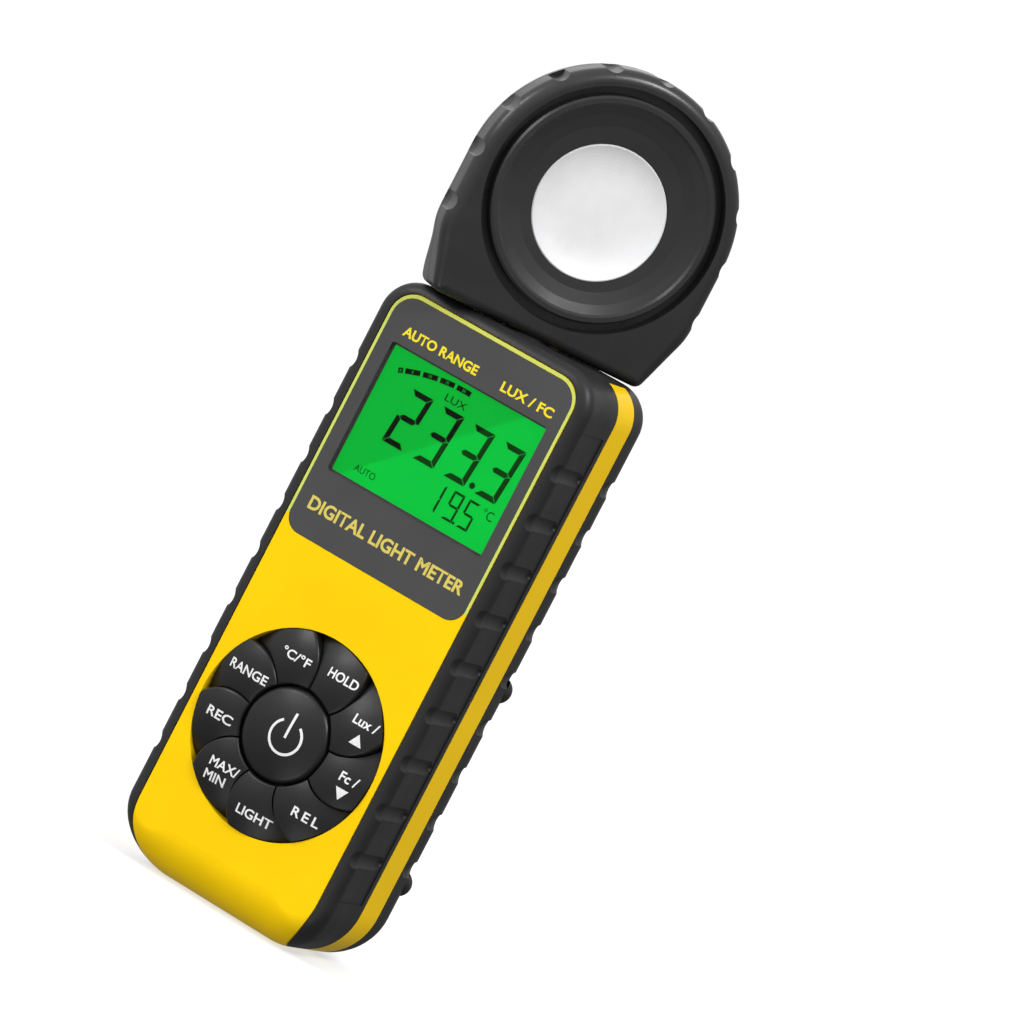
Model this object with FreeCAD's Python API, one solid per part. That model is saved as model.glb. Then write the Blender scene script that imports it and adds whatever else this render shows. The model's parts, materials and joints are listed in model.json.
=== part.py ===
"""Hand-held light meter: grip body with display and round keypad, swivelling sensor head.

Frame: +Z up the long axis, -Y the front face, +X to the right seen from the front.
The origin is on the floor plane, midway between the sides and just in front of the
swivel axis, so the meter stands on its bottom end. Millimetres throughout. Each
sub-part goes to parts/NODE.step.
"""

import FreeCAD, Part
import os
from math import asin, atan2, cos, degrees, radians, sin, sqrt, tan

V = FreeCAD.Vector
ALONG_X = V(1, 0, 0)
ALONG_Y = V(0, 1, 0)
ALONG_Z = V(0, 0, 1)
TINY = 1e-6

# ---- driving dimensions: body ----
DIAL_R = 21.8            # opening for the round keypad
DIAL_Z = 38.8            # height of the keypad's centre
HALF_W = 26.4            # half width of the body
BODY_TOP = 131.9
FRONT = -13.0            # front face
BACK = 18.0              # back face
PART_Y = 9.05            # parting plane of the two case halves
SEAM = 0.15              # visible seam between mouldings
WALL = 2.8               # case wall, grip included
GRIP = 1.6               # thickness of the soft grip layer
BOTTOM_CORNER = 13.0     # outline corners seen from the front
TOP_CORNER = 8.0
SIDE_ROUND = 2.5         # edge rounding along the front
TOE_ROUND = 10.0         # bottom end, front edge
HEEL_ROUND = 8.0         # bottom end, back edge
BACK_ROUND = 5.6

FACE_HALF = 23.2         # yellow field of the front face
FACE_TOP = 129.4
FACE_CORNER = 5.5
TOE_CURVE = 16.1         # where the yellow field narrows at the bottom corners
TOE_SHOULDER_Z = 5.15    # its straight sides and slanting ends would meet here
TOE_POINT = (13.85, -2.16)
STRIPE_Y = 1.25          # yellow side stripe runs from here back to PART_Y
FACE_GAP = 0.25          # dark line round the yellow field

PAD_PITCH = 10.9         # grip pads on the sides
PAD_GROOVES = 9
LOWEST_GROOVE = 24.4
GROOVE_R = 2.7
GROOVE_OUT = 1.95        # groove centre stands outside the surface
GROOVE_WRAP = 32.0       # degrees that a groove bends round the body's edges
GROOVE_END = 3.6         # groove centre line stops this far before the stripe
PIT_R = 0.8              # small pit where each side groove ends at the stripe
PAD_RECESS = 0.25        # the pad field lies this much below the grip's front edge
PAD_FIELD_Z = (15.0, 121.0)
TOP_GRIP_HALF = 20.8     # on the top the grip covers the stripe between the corners
BACK_FIELD_HALF = 19.2   # plain field of the back, framed by the soft grip
BACK_FIELD_Z = (8.6, 124.4)

# ---- display ----
LABEL_HALF = 22.6
LABEL_Z = (75.2, 128.6)
LABEL_T = 0.5
LENS_X = 0.25            # the window sits a little right of centre
LENS_HALF = 19.8
LENS_Z = (89.45, 118.85)
LENS_T = 1.05
VIEW_LEDGE = 0.35        # the case opening is smaller than the lens
LCD_CLEAR = 0.1          # round the display's front plate, inside that opening

# ---- keypad ----
KEY_TRAVEL = 0.6
KEY_GAP = 0.25
KEY_OUT_R = DIAL_R - KEY_GAP
KEY_IN_R = 10.3
POWER_R = 9.95
PETALS = ["celsius", "range", "record", "max_min", "light", "relative", "down", "up", "hold"]
PETAL_STEP = 360.0 / len(PETALS)
EDGE_OUT_DEG = 102.2     # first petal's clockwise edge at the rim
EDGE_IN_DEG = 89.8       # the same edge at the centre key
EDGE_R = 10.0            # radius of that curved edge
KEY_BACK = -9.1
PETAL_RISE = 1.6         # middle of a petal above the case face
PETAL_TILT = 6.5
PETAL_R = 16.0           # middle of a petal from the dial's centre
PETAL_DOME = 200.0       # the whole dial's crown
PETAL_PILLOW = 20.0      # each petal's own crown
PETAL_EDGE = 0.6
FLANGE_T = 0.8
FLANGE_R = 22.9
POWER_RISE = 2.7
POWER_DOME = 32.0
POWER_EDGE = 1.5

# ---- swivelling head ----
SWIVEL_Y = 1.4           # the swivel axis stands a little behind the origin
HEAD_TURN = 43.0         # rest pose: head turned to the right
HEAD_R = 28.7
HEAD_Z = 161.55
HEAD_BASE = 132.2
HEAD_BASE_HALF = 24.0    # the flanks lean in towards the base
HEAD_KNEE_Z = 145.5
HEAD_HALF_T = 6.5
HEAD_KNEE_ROUND = 14.0
HEAD_BASE_CORNER = 2.0
HEAD_FRONT_ROUND = 2.6
HEAD_BACK_ROUND = 6.0
HEAD_BASE_ROUND = 2.0
HEAD_WALL = 2.0
HEAD_SEAM_Y = 0.0
WELL_R = 25.3            # opening of the head's face
WELL_FLOOR = -2.8
FLOOR_T = 1.0
FLOOR_HOLE_R = 17.2
COLLAR_R = 23.3
COLLAR_FRONT = -6.7
DISH_R = 21.4
DISH_FLOOR = -4.5
DIFFUSER_R = 14.05
DIFFUSER_Z = 160.6       # the diffuser sits a little below the collar's centre
BOWL_DEPTH = 1.9
FILTER_Y = (-0.8, 0.2)
DIODE_Y = (0.3, 2.3)
SENSOR_BOARD_Y = (2.3, 3.5)
SENSOR_BOARD_R = 16.0
RIM_STEP_DEG = 22.5
RIM_NOTCH_R = 2.6
RIM_NOTCH_OUT = 1.75
RIM_NOTCH_BACK = 0.4
FLANK_NOTCH_DROP = 12.0

SPINDLE_R = 5.0
SPINDLE_BORE = 2.6
SPINDLE_BOTTOM = 120.6
BUSH_CLEAR = 0.05
BUSH_R = 6.9
BUSH_FLANGE_R = 8.8
BUSH_BOTTOM = 125.4
BUSH_SEAT_Z = 127.4      # underside of the case's boss, where the bush's flange sits
STOP_PIN_R = 0.9
STOP_PIN_Z = 122.4
STOP_HALF_DEG = 35.0
STOP_MID_DEG = 225.0

# ---- inside the body ----
BOARD_Y = (-6.0, -4.4)
BOARD_HALF = 20.5
BOARD_Z = (17.0, 119.0)
BOARD_SCREWS = [(-18.8, 19.6), (18.8, 19.6), (-18.8, 70.0), (18.8, 70.0)]
CASE_SCREWS = [(-17.5, 10.5), (17.5, 10.5), (-17.5, 124.5), (17.5, 124.5)]
CELL_R = 5.25
CELL_LENGTH = 44.5
CELL_X = 5.45
CELL_Y = 10.1
CELL_BOTTOM = 23.3
BAY_HALF = 11.5
BAY_Z = (19.5, 69.2)
BAY_FLOOR = 4.8
BAY_WALL = 1.3
DOOR_HALF = 12.4
DOOR_Z = (16.8, 77.6)
DOOR_T = 1.8
DOOR_GAP = 0.3
DOOR_SCREW_Z = 73.6


# ---- helpers ----
def rounded_wire(corners, y):
    """Closed outline in the XZ plane; corners are (x, z, radius)."""
    count = len(corners)
    points = [V(x, y, z) for x, z, _ in corners]
    starts, middles, ends = [], [], []
    for i, (_, _, radius) in enumerate(corners):
        here = points[i]
        to_last = (points[i - 1] - here).normalize()
        to_next = (points[(i + 1) % count] - here).normalize()
        half = to_last.getAngle(to_next) / 2
        reach = radius / tan(half)
        bisector = (to_last + to_next).normalize()
        starts.append(here + to_last * reach)
        ends.append(here + to_next * reach)
        middles.append(here + bisector * (radius / sin(half) - radius))
    edges = []
    for i in range(count):
        if corners[i][2] > 0:
            edges.append(Part.Arc(starts[i], middles[i], ends[i]).toShape())
        follow = starts[(i + 1) % count]
        if ends[i].distanceToPoint(follow) > TINY:
            edges.append(Part.makeLine(ends[i], follow))
    return Part.Wire(edges)


def prism(corners, y0, y1):
    """Rounded outline in XZ, extruded from y0 to y1."""
    return Part.Face(rounded_wire(corners, y0)).extrude(V(0, y1 - y0, 0))


def rect(half_w, z0, z1, radius, middle=0.0):
    return [
        (middle - half_w, z0, radius),
        (middle + half_w, z0, radius),
        (middle + half_w, z1, radius),
        (middle - half_w, z1, radius),
    ]


def box(x0, x1, y0, y1, z0, z1):
    return Part.makeBox(x1 - x0, y1 - y0, z1 - z0, V(x0, y0, z0))


def disc(radius, x, z, y0, y1):
    """Cylinder along Y."""
    return Part.makeCylinder(radius, y1 - y0, V(x, y0, z), ALONG_Y)


def pillar(radius, z0, z1, x=0.0, y=0.0):
    """Cylinder along Z."""
    return Part.makeCylinder(radius, z1 - z0, V(x, y, z0), ALONG_Z)


def arc_band(centre, r_in, r_out, start_deg, end_deg, depth):
    """Annular sector about centre, in the plane normal to the depth vector."""
    across = ALONG_X
    up = ALONG_Z if abs(depth.y) > 0 else ALONG_Y

    def at(radius, angle):
        a = radians(angle)
        return centre + across * (radius * cos(a)) + up * (radius * sin(a))

    middle = (start_deg + end_deg) / 2
    edges = [
        Part.Arc(at(r_out, start_deg), at(r_out, middle), at(r_out, end_deg)).toShape(),
        Part.makeLine(at(r_out, end_deg), at(r_in, end_deg)),
        Part.Arc(at(r_in, end_deg), at(r_in, middle), at(r_in, start_deg)).toShape(),
        Part.makeLine(at(r_in, start_deg), at(r_out, start_deg)),
    ]
    return Part.Face(Part.Wire(edges)).extrude(depth)


def turned(points, x, z):
    """Solid of revolution about the Y direction through (x, z); points are (radius, y)."""
    outline = Part.makePolygon([V(x + r, y, z) for r, y in points + points[:1]])
    return Part.Face(outline).revolve(V(x, 0, z), ALONG_Y, 360)


def group(shapes):
    return Part.makeCompound(shapes)


def fuse(first, *others):
    shape = first
    for other in others:
        shape = shape.fuse(other)
    return shape.removeSplitter()


def save(name, shape):
    solids = shape.Solids
    assert solids, name + " has no solid"
    assert all(s.isValid() for s in solids), name + " is not valid"
    kept = solids[0] if len(solids) == 1 else group(solids)
    kept.exportStep("parts/" + name + ".step")
    size = shape.BoundBox
    print(f"{name:22s} solids {len(solids):2d}  volume {shape.Volume:9.1f}  "
          f"z {size.ZMin:6.1f} to {size.ZMax:6.1f}")


def rounded_block(block, front_edges, back_edges):
    """Rounds edges with a radius that may change along each edge.

    front_edges and back_edges are functions from an edge to (radius, radius) or None.
    """
    doc = FreeCAD.newDocument("rounding")
    base = doc.addObject("Part::Feature", "block")
    base.Shape = block
    fillet = doc.addObject("Part::Fillet", "rounded")
    fillet.Base = base
    rows = []
    for number, edge in enumerate(block.Edges, 1):
        radii = front_edges(edge) or back_edges(edge)
        if radii:
            rows.append((number,) + radii)
    fillet.Edges = rows
    doc.recompute()
    shape = fillet.Shape.copy()
    FreeCAD.closeDocument("rounding")
    return shape


# ---- body shells ----
def body_block(inset):
    """The whole body's outer form, moved inwards by inset."""
    half = HALF_W - inset
    low, high = inset, BODY_TOP - inset
    front, back = FRONT + inset, BACK - inset
    bottom_r = BOTTOM_CORNER - inset
    top_r = TOP_CORNER - inset
    corners = [(-half, low, bottom_r), (half, low, bottom_r), (half, high, top_r), (-half, high, top_r)]
    block = prism(corners, front, back)

    def ring(plane, side, toe):
        """Radii for the edge loop in one Y plane: side all round, toe at the bottom."""
        def radii(edge):
            size = edge.BoundBox
            if abs(size.YMin - plane) > 0.01 or abs(size.YMax - plane) > 0.01:
                return None
            if size.ZMax < low + 0.01:
                return (toe, toe)
            if size.ZMax < low + bottom_r + 0.01:
                falls = edge.Vertexes[0].Point.z > edge.Vertexes[-1].Point.z
                return (side, toe) if falls else (toe, side)
            return (side, side)
        return radii

    return rounded_block(
        block,
        ring(front, max(SIDE_ROUND - inset, 0.4), TOE_ROUND - inset),
        ring(back, BACK_ROUND - inset, HEEL_ROUND - inset),
    )


def face_field(grow=0.0):
    """Prism through the body behind the yellow front field, widened by grow."""
    half = FACE_HALF + grow
    toe = TOE_CURVE + grow
    corners = [
        (half, FACE_TOP + grow, FACE_CORNER + grow),
        (half, TOE_SHOULDER_Z, toe),
        (TOE_POINT[0] + grow, TOE_POINT[1], 0),
        (-TOE_POINT[0] - grow, TOE_POINT[1], 0),
        (-half, TOE_SHOULDER_Z, toe),
        (-half, FACE_TOP + grow, FACE_CORNER + grow),
    ]
    return prism(corners, FRONT - 5, BACK + 5)


def edge_bend(x, y, edge_r, start_deg):
    """Groove cutter bending round a vertical edge whose rounding is centred at (x, y).

    It covers GROOVE_WRAP degrees from start_deg and its outer end is a ball.
    """
    reach = edge_r + GROOVE_OUT
    bend = Part.makeTorus(reach, GROOVE_R, V(0, 0, 0), ALONG_Z, 0, 360, GROOVE_WRAP)
    bend.rotate(V(0, 0, 0), ALONG_Z, start_deg)
    tip = radians(start_deg if start_deg < 0 else start_deg + GROOVE_WRAP)
    ball = Part.makeSphere(GROOVE_R, V(reach * cos(tip), reach * sin(tip), 0))
    for piece in (bend, ball):
        piece.translate(V(x, y, 0))
    return [bend, ball]


def straight_groove(y0, y1, ball_y):
    """Groove cutter along the side, ending in a ball at ball_y."""
    x = HALF_W + GROOVE_OUT
    return [disc(GROOVE_R, x, 0, y0, y1), Part.makeSphere(GROOVE_R, V(x, ball_y, 0))]


def on_both_sides(pieces):
    """Copies of right-hand cutters made at z = 0, at every groove on both sides."""
    copies = []
    for i in range(PAD_GROOVES):
        for piece in pieces:
            right = piece.copy()
            right.translate(V(0, 0, LOWEST_GROOVE + i * PAD_PITCH))
            copies += [right, right.mirror(V(0, 0, 0), ALONG_X)]
    return copies


def screw(x, z, head_y, tip_y, head_r, shank_r, head_t, slot=0.5):
    """Pan screw along Y, head towards +Y, with a cross recess."""
    body = fuse(disc(head_r, x, z, head_y, head_y + head_t), disc(shank_r, x, z, tip_y, head_y + 0.01))
    top = head_y + head_t
    long, thin, deep = head_r * 0.62, head_r * 0.14, slot
    cross = fuse(
        box(x - long, x + long, top - deep, top + 1, z - thin, z + thin),
        box(x - thin, x + thin, top - deep, top + 1, z - long, z + long),
    )
    return body.cut(cross)


OUTER = body_block(0)
SKIN = body_block(GRIP)
CAVITY = body_block(WALL)
LAYER = OUTER.cut(SKIN)


def label_outline(shrink=0.0):
    z0, z1 = LABEL_Z
    half = LABEL_HALF - shrink
    return [
        (-half, z0 + shrink, 3.8),
        (half, z0 + shrink, 3.8),
        (half, z1 - shrink, 4.9),
        (-half, z1 - shrink, 4.9),
    ]


def lens_prism(y0, y1, shrink=0.0):
    z0, z1 = LENS_Z
    return prism(rect(LENS_HALF - shrink, z0 + shrink, z1 - shrink, 0.8, LENS_X), y0, y1)


def make_front_case():
    front_half = box(-40, 40, FRONT - 1, PART_Y, -1, 140)
    shell = OUTER.cut(CAVITY).common(front_half)
    grip_zone = LAYER.common(box(-40, 40, FRONT - 1, STRIPE_Y, -1, 140)).cut(face_field())
    shell = shell.cut([grip_zone, top_zone(SEAM)])
    inner_face = FRONT + WALL
    posts = [disc(2.4, x, z, inner_face - 0.1, BOARD_Y[0]) for x, z in BOARD_SCREWS]
    posts += [disc(3.0, x, z, inner_face - 0.1, PART_Y - 0.7) for x, z in CASE_SCREWS]
    bush_boss = pillar(BUSH_R + 1.7, BUSH_SEAT_Z, BODY_TOP - WALL + 0.1, 0, SWIVEL_Y)
    bush_boss = bush_boss.common(box(-20, 20, -20, PART_Y, 120, 140))
    shell = fuse(shell, bush_boss, *posts)
    holes = [disc(1.05, x, z, BOARD_Y[0] - 3.4, BOARD_Y[0] + 0.1) for x, z in BOARD_SCREWS]
    holes += [disc(1.4, x, z, -2.0, PART_Y) for x, z in CASE_SCREWS]
    cuts = holes + [
        prism(label_outline(), FRONT - 1, FRONT + LABEL_T),
        lens_prism(FRONT, FRONT + LENS_T + 0.1, -0.05),
        lens_prism(FRONT, inner_face + 0.5, VIEW_LEDGE),
        disc(DIAL_R, 0, DIAL_Z, FRONT - 1, inner_face + 1),
        pillar(BUSH_R, 120, BODY_TOP + 1, 0, SWIVEL_Y),
    ]
    return shell.cut(cuts)


def top_zone(grow=0.0):
    """Block over the middle of the top, where the grip runs back over the stripe."""
    half = TOP_GRIP_HALF + grow
    return box(-half, half, STRIPE_Y - 1, PART_Y + 1, BODY_TOP - GRIP, BODY_TOP + 1)


def make_side_grip():
    """Soft grip moulded round the top and both front sides."""
    zone = box(-40, 40, FRONT - 1, STRIPE_Y - SEAM, -1, 140)
    zone = zone.fuse(top_zone().common(box(-40, 40, 0, PART_Y, 0, 140)))
    grip = LAYER.common(zone).cut(face_field(FACE_GAP))
    low, high = PAD_FIELD_Z
    groove_end = STRIPE_Y - GROOVE_END
    field_end = STRIPE_Y - 1.6
    fields = [
        box(side * HALF_W - PAD_RECESS, side * HALF_W + PAD_RECESS, FRONT + 2.4, field_end, low, high)
        for side in (-1, 1)
    ]
    neck = pillar(BUSH_R + 1.2, 120, 140, 0, SWIVEL_Y)
    edge_y = FRONT + SIDE_ROUND
    groove = edge_bend(HALF_W - SIDE_ROUND, edge_y, SIDE_ROUND, -GROOVE_WRAP)
    groove += straight_groove(edge_y, groove_end, groove_end)
    pit = Part.makeSphere(PIT_R, V(HALF_W - PAD_RECESS + 0.2, field_end - 0.9, 0))
    return grip.cut(fields + [neck] + on_both_sides(groove + [pit]))


def rear_zone(grow=0.0):
    """Prism behind the plain field of the back, widened by grow."""
    low, high = BACK_FIELD_Z
    return prism(rect(BACK_FIELD_HALF + grow, low - grow, high + grow, 6.5), PART_Y + 3, BACK + 5)


def make_rear_grip():
    zone = box(-40, 40, PART_Y + SEAM, BACK + 1, -1, 140)
    grip = LAYER.common(zone).cut(rear_zone())
    edge_y = BACK - BACK_ROUND
    start_y = PART_Y + 2.4
    groove = edge_bend(HALF_W - BACK_ROUND, edge_y, BACK_ROUND, 0)
    groove += straight_groove(start_y, edge_y, start_y)
    return grip.cut(on_both_sides(groove))


def make_rear_case():
    rear_half = box(-40, 40, PART_Y + SEAM, BACK + 1, -1, 140)
    field_layer = LAYER.common(rear_half).common(rear_zone(-0.2))
    shell = fuse(SKIN.cut(CAVITY).common(rear_half), field_layer)
    inner_back = BACK - WALL
    bosses = [disc(3.9, x, z, PART_Y + SEAM, inner_back + 0.5) for x, z in CASE_SCREWS]
    bay_z0, bay_z1 = BAY_Z
    bay = box(-BAY_HALF - BAY_WALL, BAY_HALF + BAY_WALL, BAY_FLOOR - BAY_WALL, inner_back + 0.5,
              bay_z0 - BAY_WALL, DOOR_Z[1] + 0.6)
    shell = fuse(shell, bay, *bosses)
    cuts = [
        box(-BAY_HALF, BAY_HALF, BAY_FLOOR, BACK + 1, bay_z0, bay_z1),
        box(-BAY_HALF, BAY_HALF, BACK - DOOR_T - 1.6, BACK + 1, bay_z1 - 0.1, DOOR_Z[1] - 0.9),
        prism(rect(DOOR_HALF + DOOR_GAP, DOOR_Z[0] - DOOR_GAP, DOOR_Z[1] + DOOR_GAP, 2.3),
              BACK - DOOR_T - DOOR_GAP, BACK + 1),
        disc(2.2, 0, DOOR_SCREW_Z, BAY_FLOOR + 3.0, BACK),
    ]
    for x, z in CASE_SCREWS:
        cuts.append(disc(1.45, x, z, PART_Y - 1, BACK + 1))
        cuts.append(disc(2.9, x, z, 14.6, BACK + 1))
    return shell.cut(cuts)


def make_battery_door():
    z0, z1 = DOOR_Z
    door = prism(rect(DOOR_HALF, z0, z1, 2.0), BACK - DOOR_T, BACK)
    ribs = [box(-7, 7, BACK - 0.45, BACK + 1, z0 + 5 + 1.8 * i, z0 + 5.9 + 1.8 * i) for i in range(5)]
    hole = disc(1.65, 0, DOOR_SCREW_Z, BACK - 5, BACK + 1)
    seat = disc(2.9, 0, DOOR_SCREW_Z, BACK - 1.15, BACK + 1)
    return door.cut(ribs + [hole, seat])


def make_corner_bumpers():
    """Four small domes on the back edges, two to a side."""
    reach = (BACK_ROUND - 1.8) * sin(radians(45))
    domes = []
    for side in (-1, 1):
        for z in (20.5, 65.0):
            x = side * (HALF_W - BACK_ROUND + reach + 0.35)
            ball = Part.makeSphere(2.9, V(x, BACK - BACK_ROUND + reach + 0.35, z))
            domes.append(ball.cut(OUTER))
    return group(domes)


# ---- keypad ----
def petal_middle_deg(number):
    """Direction of a petal's middle, between its two curved edges."""
    return (EDGE_OUT_DEG + EDGE_IN_DEG) / 2 + PETAL_STEP * (number + 0.5)


def edge_slab(turn_deg):
    """Thin curved slab that parts two neighbouring petals."""
    def at(radius, angle):
        a = radians(angle + turn_deg)
        return V(radius * cos(a), 0, radius * sin(a))

    rim, hub = at(KEY_OUT_R, EDGE_OUT_DEG), at(KEY_IN_R, EDGE_IN_DEG)
    chord = hub - rim
    half = chord.Length / 2
    away = V(chord.z, 0, -chord.x).normalize()
    centre = (rim + hub) * 0.5 + away * sqrt(EDGE_R ** 2 - half ** 2)
    from_centre = (rim + hub) * 0.5 - centre
    middle = degrees(atan2(from_centre.z, from_centre.x))
    spread = degrees(asin(half / EDGE_R)) + 14
    base = V(centre.x, FRONT - 6, centre.z + DIAL_Z)
    return arc_band(base, EDGE_R - KEY_GAP / 2, EDGE_R + KEY_GAP / 2, middle - spread, middle + spread,
                    V(0, 14, 0))


def make_petals():
    """Nine blade-like keys that together fill the ring round the centre key.

    One petal is made, high along its clockwise edge and low where its neighbour
    lies over it, and the others are turned copies.
    """
    ring = disc(KEY_OUT_R, 0, DIAL_Z, FRONT - 3, KEY_BACK)
    ring = fuse(ring, disc(FLANGE_R, 0, DIAL_Z, KEY_BACK - FLANGE_T, KEY_BACK))
    ring = ring.cut(disc(KEY_IN_R, 0, DIAL_Z, FRONT - 4, KEY_BACK + 1))
    pieces = ring.cut([edge_slab(0), edge_slab(PETAL_STEP)]).Solids
    blank = min(pieces, key=lambda piece: piece.Volume)
    angle = radians(petal_middle_deg(0))
    outward = V(cos(angle), 0, sin(angle))
    anticlockwise = V(-sin(angle), 0, cos(angle))
    crown = outward * PETAL_R + V(0, FRONT - PETAL_RISE, DIAL_Z)
    inward = ALONG_Y - outward * (PETAL_R / PETAL_DOME) - anticlockwise * tan(radians(PETAL_TILT))
    pillow = Part.makeSphere(PETAL_PILLOW, crown + inward.normalize() * PETAL_PILLOW)
    petal = soften(blank.common(pillow), FRONT + 2.2, PETAL_EDGE)
    keys = {}
    for i, name in enumerate(PETALS):
        key = petal.copy()
        key.rotate(V(0, 0, DIAL_Z), ALONG_Y, -i * PETAL_STEP)
        keys[name] = key
    return keys


def soften(shape, deeper_than, radius):
    """Rounds the edges of the top, those that lie wholly in front of a depth."""
    edges = [e for e in shape.Edges if e.BoundBox.YMax < deeper_than and e.Length > radius]
    return shape.makeFillet(radius, edges)


def make_power_key():
    body = disc(POWER_R, 0, DIAL_Z, FRONT - POWER_RISE, KEY_BACK)
    dome = Part.makeSphere(POWER_DOME, V(0, FRONT - POWER_RISE + POWER_DOME, DIAL_Z))
    key = body.common(dome)
    return soften(key, FRONT, POWER_EDGE)


def key_centres():
    """Switch positions: one under each petal and one under the centre key."""
    spots = [(0.0, DIAL_Z)]
    for i in range(len(PETALS)):
        angle = radians(petal_middle_deg(i))
        spots.append((PETAL_R * cos(angle), DIAL_Z + PETAL_R * sin(angle)))
    return spots


def make_membrane():
    sheet = disc(23.2, 0, DIAL_Z, KEY_BACK + KEY_TRAVEL + 0.2, -7.3)
    pips = [disc(1.2, x, z, -7.35, -6.6) for x, z in key_centres()]
    return fuse(sheet, *pips)


def make_domes():
    return group([turned([(0, -6.5), (1.5, -6.4), (2.4, -6.0), (0, -6.0)], x, z) for x, z in key_centres()])


# ---- display stack ----
def make_label():
    label = prism(label_outline(0.08), FRONT - 0.05, FRONT + LABEL_T)
    return label.cut(lens_prism(FRONT - 1, FRONT + 1, -0.05))


def make_lcd_glass():
    """Rear plate with its contact ledges, and the front plate close behind the window."""
    rear = box(-20.5, 20.5, -10.1, -8.9, 88.0, 120.2)
    return fuse(lens_prism(FRONT + LENS_T + 0.1, -10.0, VIEW_LEDGE + LCD_CLEAR), rear)


def make_lcd_holder():
    frame = box(-22.3, 22.3, -10.15, -6.05, 86.0, 120.9)
    window = box(-20.7, 20.7, -11, -5, 87.9, 120.3)
    return frame.cut(window)


def make_zebra():
    return group([box(-19.5, 19.5, -8.8, -6.0, 88.0, 89.8), box(-19.5, 19.5, -8.8, -6.0, 118.5, 120.2)])


# ---- electronics and cells ----
def make_board():
    y0, y1 = BOARD_Y
    board = prism(rect(BOARD_HALF, BOARD_Z[0], BOARD_Z[1], 1.0), y0, y1)
    return board.cut([disc(1.3, x, z, y0 - 1, y1 + 1) for x, z in BOARD_SCREWS])


def make_chips():
    y = BOARD_Y[1]
    return group([
        box(-6, 6, y, y + 1.6, 84, 96),
        box(-16, -11, y, y + 1.5, 86, 90),
        box(10, 15, y, y + 1.5, 92, 98),
        box(-15, -10, y, y + 1.2, 72, 75),
    ])


def make_small_parts():
    """Crystal can, coil and two electrolytic capacitors on the back of the board."""
    y = BOARD_Y[1]
    crystal = prism(rect(1.7, 76.5, 86.5, 1.6, 11.0), y, y + 3.4)
    coil = disc(3.0, -12, 100, y, y + 3.5)
    caps = [disc(2.5, x, 108, y, y + 5.5) for x in (10, 16)]
    return group([crystal, coil] + caps)


def make_cell(side):
    """One AAA cell; side -1 has its positive end up, side 1 has it down."""
    x = side * CELL_X
    can = pillar(CELL_R, CELL_BOTTOM + 0.4, CELL_BOTTOM + CELL_LENGTH - 1.2, x, CELL_Y)
    can = can.makeFillet(0.5, [e for e in can.Edges if e.Length > 30 and e.isClosed()])
    cap = pillar(1.9, CELL_BOTTOM + CELL_LENGTH - 1.3, CELL_BOTTOM + CELL_LENGTH, x, CELL_Y)
    base = pillar(3.9, CELL_BOTTOM, CELL_BOTTOM + 0.5, x, CELL_Y)
    cell = fuse(can, cap, base)
    if side > 0:
        middle = V(x, CELL_Y, (BAY_Z[0] + BAY_Z[1]) / 2)
        cell.rotate(middle, ALONG_Y, 180)
    return cell


def make_contacts():
    """Flat contact plates at the two ends of the battery bay."""
    low, high = BAY_Z
    plates = []
    for side in (-1, 1):
        x = side * CELL_X
        plates.append(box(x - 4.4, x + 4.4, CELL_Y - 4.4, CELL_Y + 4.4, low, low + 0.4))
        plates.append(box(x - 4.4, x + 4.4, CELL_Y - 4.4, CELL_Y + 4.4, high - 0.4, high))
    return group(plates)


def make_springs():
    """A coil spring at each cell's negative end."""
    wire_r, coil_r = 0.3, 2.6
    length = CELL_BOTTOM - BAY_Z[0] - 0.4
    springs = []
    for side in (-1, 1):
        path = Part.makeLongHelix(0.95, length - 2 * wire_r, coil_r)
        section = Part.Wire(Part.makeCircle(wire_r, V(coil_r, 0, 0), ALONG_Y))
        spring = Part.Wire(path).makePipeShell([section], True, True)
        spring.translate(V(0, 0, BAY_Z[0] + 0.4 + wire_r))
        if side > 0:
            middle = V(0, 0, (BAY_Z[0] + BAY_Z[1]) / 2)
            spring.rotate(middle, ALONG_Y, 180)
        spring.translate(V(side * CELL_X, CELL_Y, 0))
        springs.append(spring)
    return group(springs)


# ---- head ----
def head_corners(inset):
    """Round top, straight flanks, leaning in below the knee to a narrower base."""
    half = HEAD_R - inset
    low, high = HEAD_BASE + inset, HEAD_Z + half
    base_half = HEAD_BASE_HALF - inset
    return [
        (-base_half, low, HEAD_BASE_CORNER),
        (base_half, low, HEAD_BASE_CORNER),
        (half, HEAD_KNEE_Z, HEAD_KNEE_ROUND),
        (half, high, half),
        (-half, high, half),
        (-half, HEAD_KNEE_Z, HEAD_KNEE_ROUND),
    ]


def head_block(inset):
    front, back = -HEAD_HALF_T + inset, HEAD_HALF_T - inset
    block = prism(head_corners(inset), front, back)
    low = HEAD_BASE + inset
    leaning = low + HEAD_BASE_CORNER

    def ring(plane, side, base):
        """Radii for the edge loop in one Y plane: side all round, base along the bottom."""
        def radii(edge):
            size = edge.BoundBox
            if abs(size.YMin - plane) > 0.01 or abs(size.YMax - plane) > 0.01:
                return None
            if size.ZMax < leaning + 0.01:
                return (base, base)
            if size.ZMin < leaning + 0.01:
                falls = edge.Vertexes[0].Point.z > edge.Vertexes[-1].Point.z
                return (side, base) if falls else (base, side)
            return (side, side)
        return radii

    base_round = max(HEAD_BASE_ROUND - inset, 0.3)
    return rounded_block(
        block,
        ring(front, max(HEAD_FRONT_ROUND - inset, 0.3), base_round),
        ring(back, HEAD_BACK_ROUND - inset, base_round),
    )


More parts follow.
